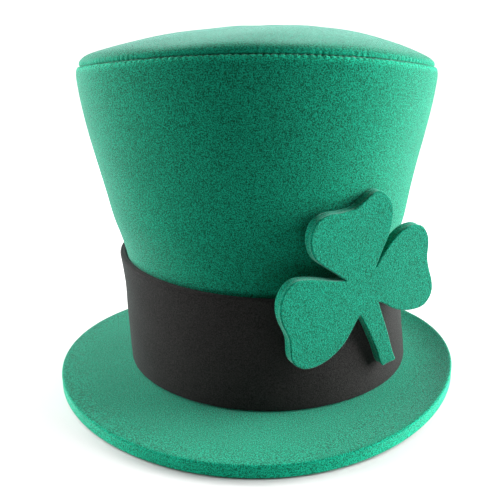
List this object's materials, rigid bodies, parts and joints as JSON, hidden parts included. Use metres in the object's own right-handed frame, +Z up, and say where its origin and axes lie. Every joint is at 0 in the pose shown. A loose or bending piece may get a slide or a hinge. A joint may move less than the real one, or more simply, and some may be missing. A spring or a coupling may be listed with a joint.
{
  "type": "leprechaun hat",
  "caption": "Tall green foam costume hat with a round brim, a flared crown with a domed lid, a black band and a shamrock.",
  "frame": {"origin": "on the surface that the hat rests on, under the middle of the brim", "axes": "+Z up through the crown, the front of the hat towards -Y, +X to the right as seen from the front"},
  "size_m": [0.285, 0.2796, 0.2418],
  "materials": {
    "green_foam": "matt open-cell foam with a fine grain",
    "black_foam": "matt black foam with a fine grain",
    "shamrock_foam": "matt die-cut foam with a coarser grain"
  },
  "bodies": {
    "root": {"brim": "green_foam", "crown_wall": "green_foam", "crown_top": "green_foam", "band": "black_foam", "shamrock": "shamrock_foam"}
  },
  "joints": []
}
